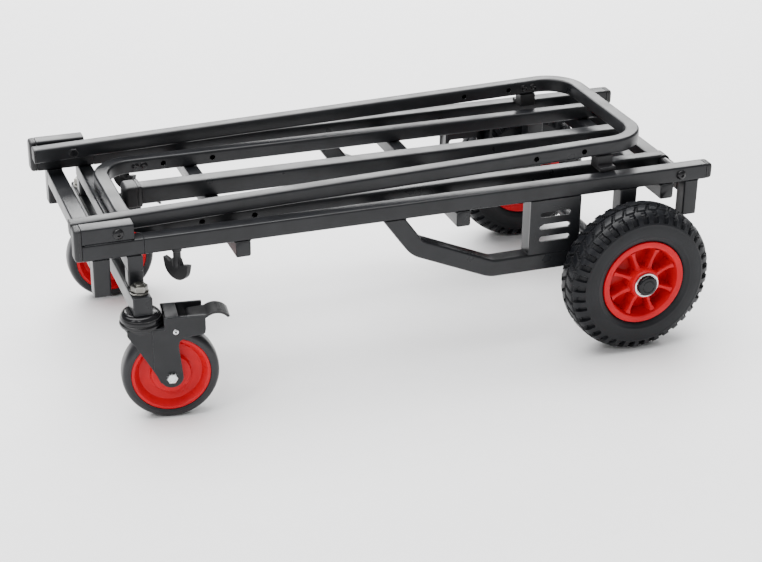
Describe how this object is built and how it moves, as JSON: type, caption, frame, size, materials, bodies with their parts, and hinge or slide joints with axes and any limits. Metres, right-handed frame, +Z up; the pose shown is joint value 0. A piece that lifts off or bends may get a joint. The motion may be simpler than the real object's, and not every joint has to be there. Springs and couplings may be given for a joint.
{
  "type": "convertible hand truck",
  "caption": "Folding multi-mode hand truck shown as a low platform cart: telescoping square-tube frame, two fold-up handle hoops, two air-filled wheels and two braked swivel casters.",
  "frame": {"origin": "on the floor, under the middle of the overall length and width", "axes": "+X to the big wheels (rear), -X to the casters (front), +Y to the right side, +Z up"},
  "size_m": [0.9004, 0.488, 0.2866],
  "materials": {
    "black_steel": "satin black powder coat",
    "zinc": "bright zinc plate",
    "black_plastic": "moulded, fine grain",
    "gloss_cap": "gloss black",
    "red_plastic": "moulded red, semi gloss",
    "tyre_rubber": "matt black rubber",
    "tread_rubber": "smooth black rubber"
  },
  "bodies": {
    "rear_frame": {"rear_rail_left": "black_steel", "rear_rail_right": "black_steel", "rear_end_cap_left": "black_plastic", "rear_end_cap_right": "black_plastic", "rear_leg_left": "black_steel", "rear_leg_right": "black_steel", "side_truss_left": "black_steel", "side_truss_right": "black_steel", "axle_post_left": "black_steel", "axle_post_right": "black_steel", "side_plate_left": "black_steel", "side_plate_right": "black_steel", "rear_pivot_bolt_left": "zinc", "rear_pivot_bolt_right": "zinc", "axle_cap_left": "gloss_cap", "axle_cap_right": "gloss_cap", "crossbar_1": "black_steel", "crossbar_2": "black_steel", "crossbar_3": "black_steel", "rear_end_bar": "black_steel", "centre_tube": "black_steel", "centre_tube_boot": "black_plastic", "rear_axle": "zinc"},
    "front_frame": {"front_rail_left": "black_steel", "front_rail_right": "black_steel", "handle_block_left": "black_steel", "handle_block_right": "black_steel", "front_end_cap_left": "black_plastic", "front_end_cap_right": "black_plastic", "front_leg_left": "black_steel", "front_leg_right": "black_steel", "caster_stem_left": "zinc", "caster_stem_right": "zinc", "front_crossbar": "black_steel", "caster_bridge": "black_steel", "caster_beam": "black_steel"},
    "front_pivot": {"front_pivot_bolt_left": "zinc", "front_pivot_bolt_right": "zinc"},
    "front_hoop": {"front_handle": "black_steel", "handle_plug_left": "black_plastic", "handle_plug_right": "black_plastic", "rest_pad_left": "black_plastic", "rest_pad_right": "black_plastic"},
    "rear_hoop": {"rear_handle": "black_steel"},
    "lock_knob_left": {"lock_knob_left": "black_plastic"},
    "lock_knob_right": {"lock_knob_right": "black_plastic"},
    "rear_wheel_left": {"rear_rim_left": "red_plastic", "rear_tyre_left": "tyre_rubber"},
    "rear_wheel_right": {"rear_rim_right": "red_plastic", "rear_tyre_right": "tyre_rubber"},
    "caster_left": {"caster_fork_left": "black_steel", "caster_axle_bolt_left": "zinc"},
    "caster_wheel_left": {"caster_hub_left": "red_plastic", "caster_tread_left": "tread_rubber"},
    "brake_left": {"brake_pedal_left": "black_plastic"},
    "caster_right": {"caster_fork_right": "black_steel", "caster_axle_bolt_right": "zinc"},
    "caster_wheel_right": {"caster_hub_right": "red_plastic", "caster_tread_right": "tread_rubber"},
    "brake_right": {"brake_pedal_right": "black_plastic"}
  },
  "joints": [
    {"name": "extend", "type": "slide", "parent": "rear_frame", "child": "front_frame", "axis": [-1, 0, 0], "range_m": [0, 0.557]},
    {"name": "front_hoop_turn", "type": "hinge", "parent": "front_frame", "child": "front_pivot", "pos_m": [-0.3944, 0, 0.25515], "axis": [0, -1, 0], "range_deg": [0, 92]},
    {"name": "front_hoop_draw", "type": "slide", "parent": "front_pivot", "child": "front_hoop", "axis": [0.9996, 0, 0.0283], "range_m": [0, 0.0385]},
    {"name": "rear_hoop_turn", "type": "hinge", "parent": "rear_frame", "child": "rear_hoop", "pos_m": [0.4006, 0, 0.233], "axis": [0, 1, 0], "range_deg": [0, 88]},
    {"name": "lock_turn_left", "type": "hinge", "parent": "rear_frame", "child": "lock_knob_left", "pos_m": [-0.3181, -0.1565, 0.2], "axis": [0, 0, 1], "range_deg": [0, 180]},
    {"name": "lock_turn_right", "type": "hinge", "parent": "rear_frame", "child": "lock_knob_right", "pos_m": [-0.3181, 0.1565, 0.2], "axis": [0, 0, 1], "range_deg": [0, 180]},
    {"name": "rear_spin_left", "type": "hinge", "parent": "rear_frame", "child": "rear_wheel_left", "pos_m": [0.3214, -0.2015, 0.1065], "axis": [0, 1, 0], "continuous": true},
    {"name": "rear_spin_right", "type": "hinge", "parent": "rear_frame", "child": "rear_wheel_right", "pos_m": [0.3214, 0.2015, 0.1065], "axis": [0, 1, 0], "continuous": true},
    {"name": "swivel_left", "type": "hinge", "parent": "front_frame", "child": "caster_left", "pos_m": [-0.3744, -0.183, 0.14], "axis": [0, 0, 1], "continuous": true},
    {"name": "caster_spin_left", "type": "hinge", "parent": "caster_left", "child": "caster_wheel_left", "pos_m": [-0.34016, -0.1872, 0.0635], "axis": [0.1219, 0.9925, 0], "continuous": true},
    {"name": "brake_press_left", "type": "hinge", "parent": "caster_left", "child": "brake_left", "pos_m": [-0.31088, -0.1908, 0.138], "axis": [0.1219, 0.9925, 0], "range_deg": [0, 14]},
    {"name": "swivel_right", "type": "hinge", "parent": "front_frame", "child": "caster_right", "pos_m": [-0.3744, 0.183, 0.14], "axis": [0, 0, 1], "continuous": true},
    {"name": "caster_spin_right", "type": "hinge", "parent": "caster_right", "child": "caster_wheel_right", "pos_m": [-0.3399, 0.183, 0.0635], "axis": [0, 1, 0], "continuous": true},
    {"name": "brake_press_right", "type": "hinge", "parent": "caster_right", "child": "brake_right", "pos_m": [-0.3104, 0.183, 0.138], "axis": [0, 1, 0], "range_deg": [0, 14]}
  ],
  "couplings": [
    {"joint": "front_hoop_draw", "follows": "front_hoop_turn", "m_per_rad": 0.023666},
    {"joint": "rear_hoop_turn", "follows": "front_hoop_turn", "ratio": 0.95}
  ]
}
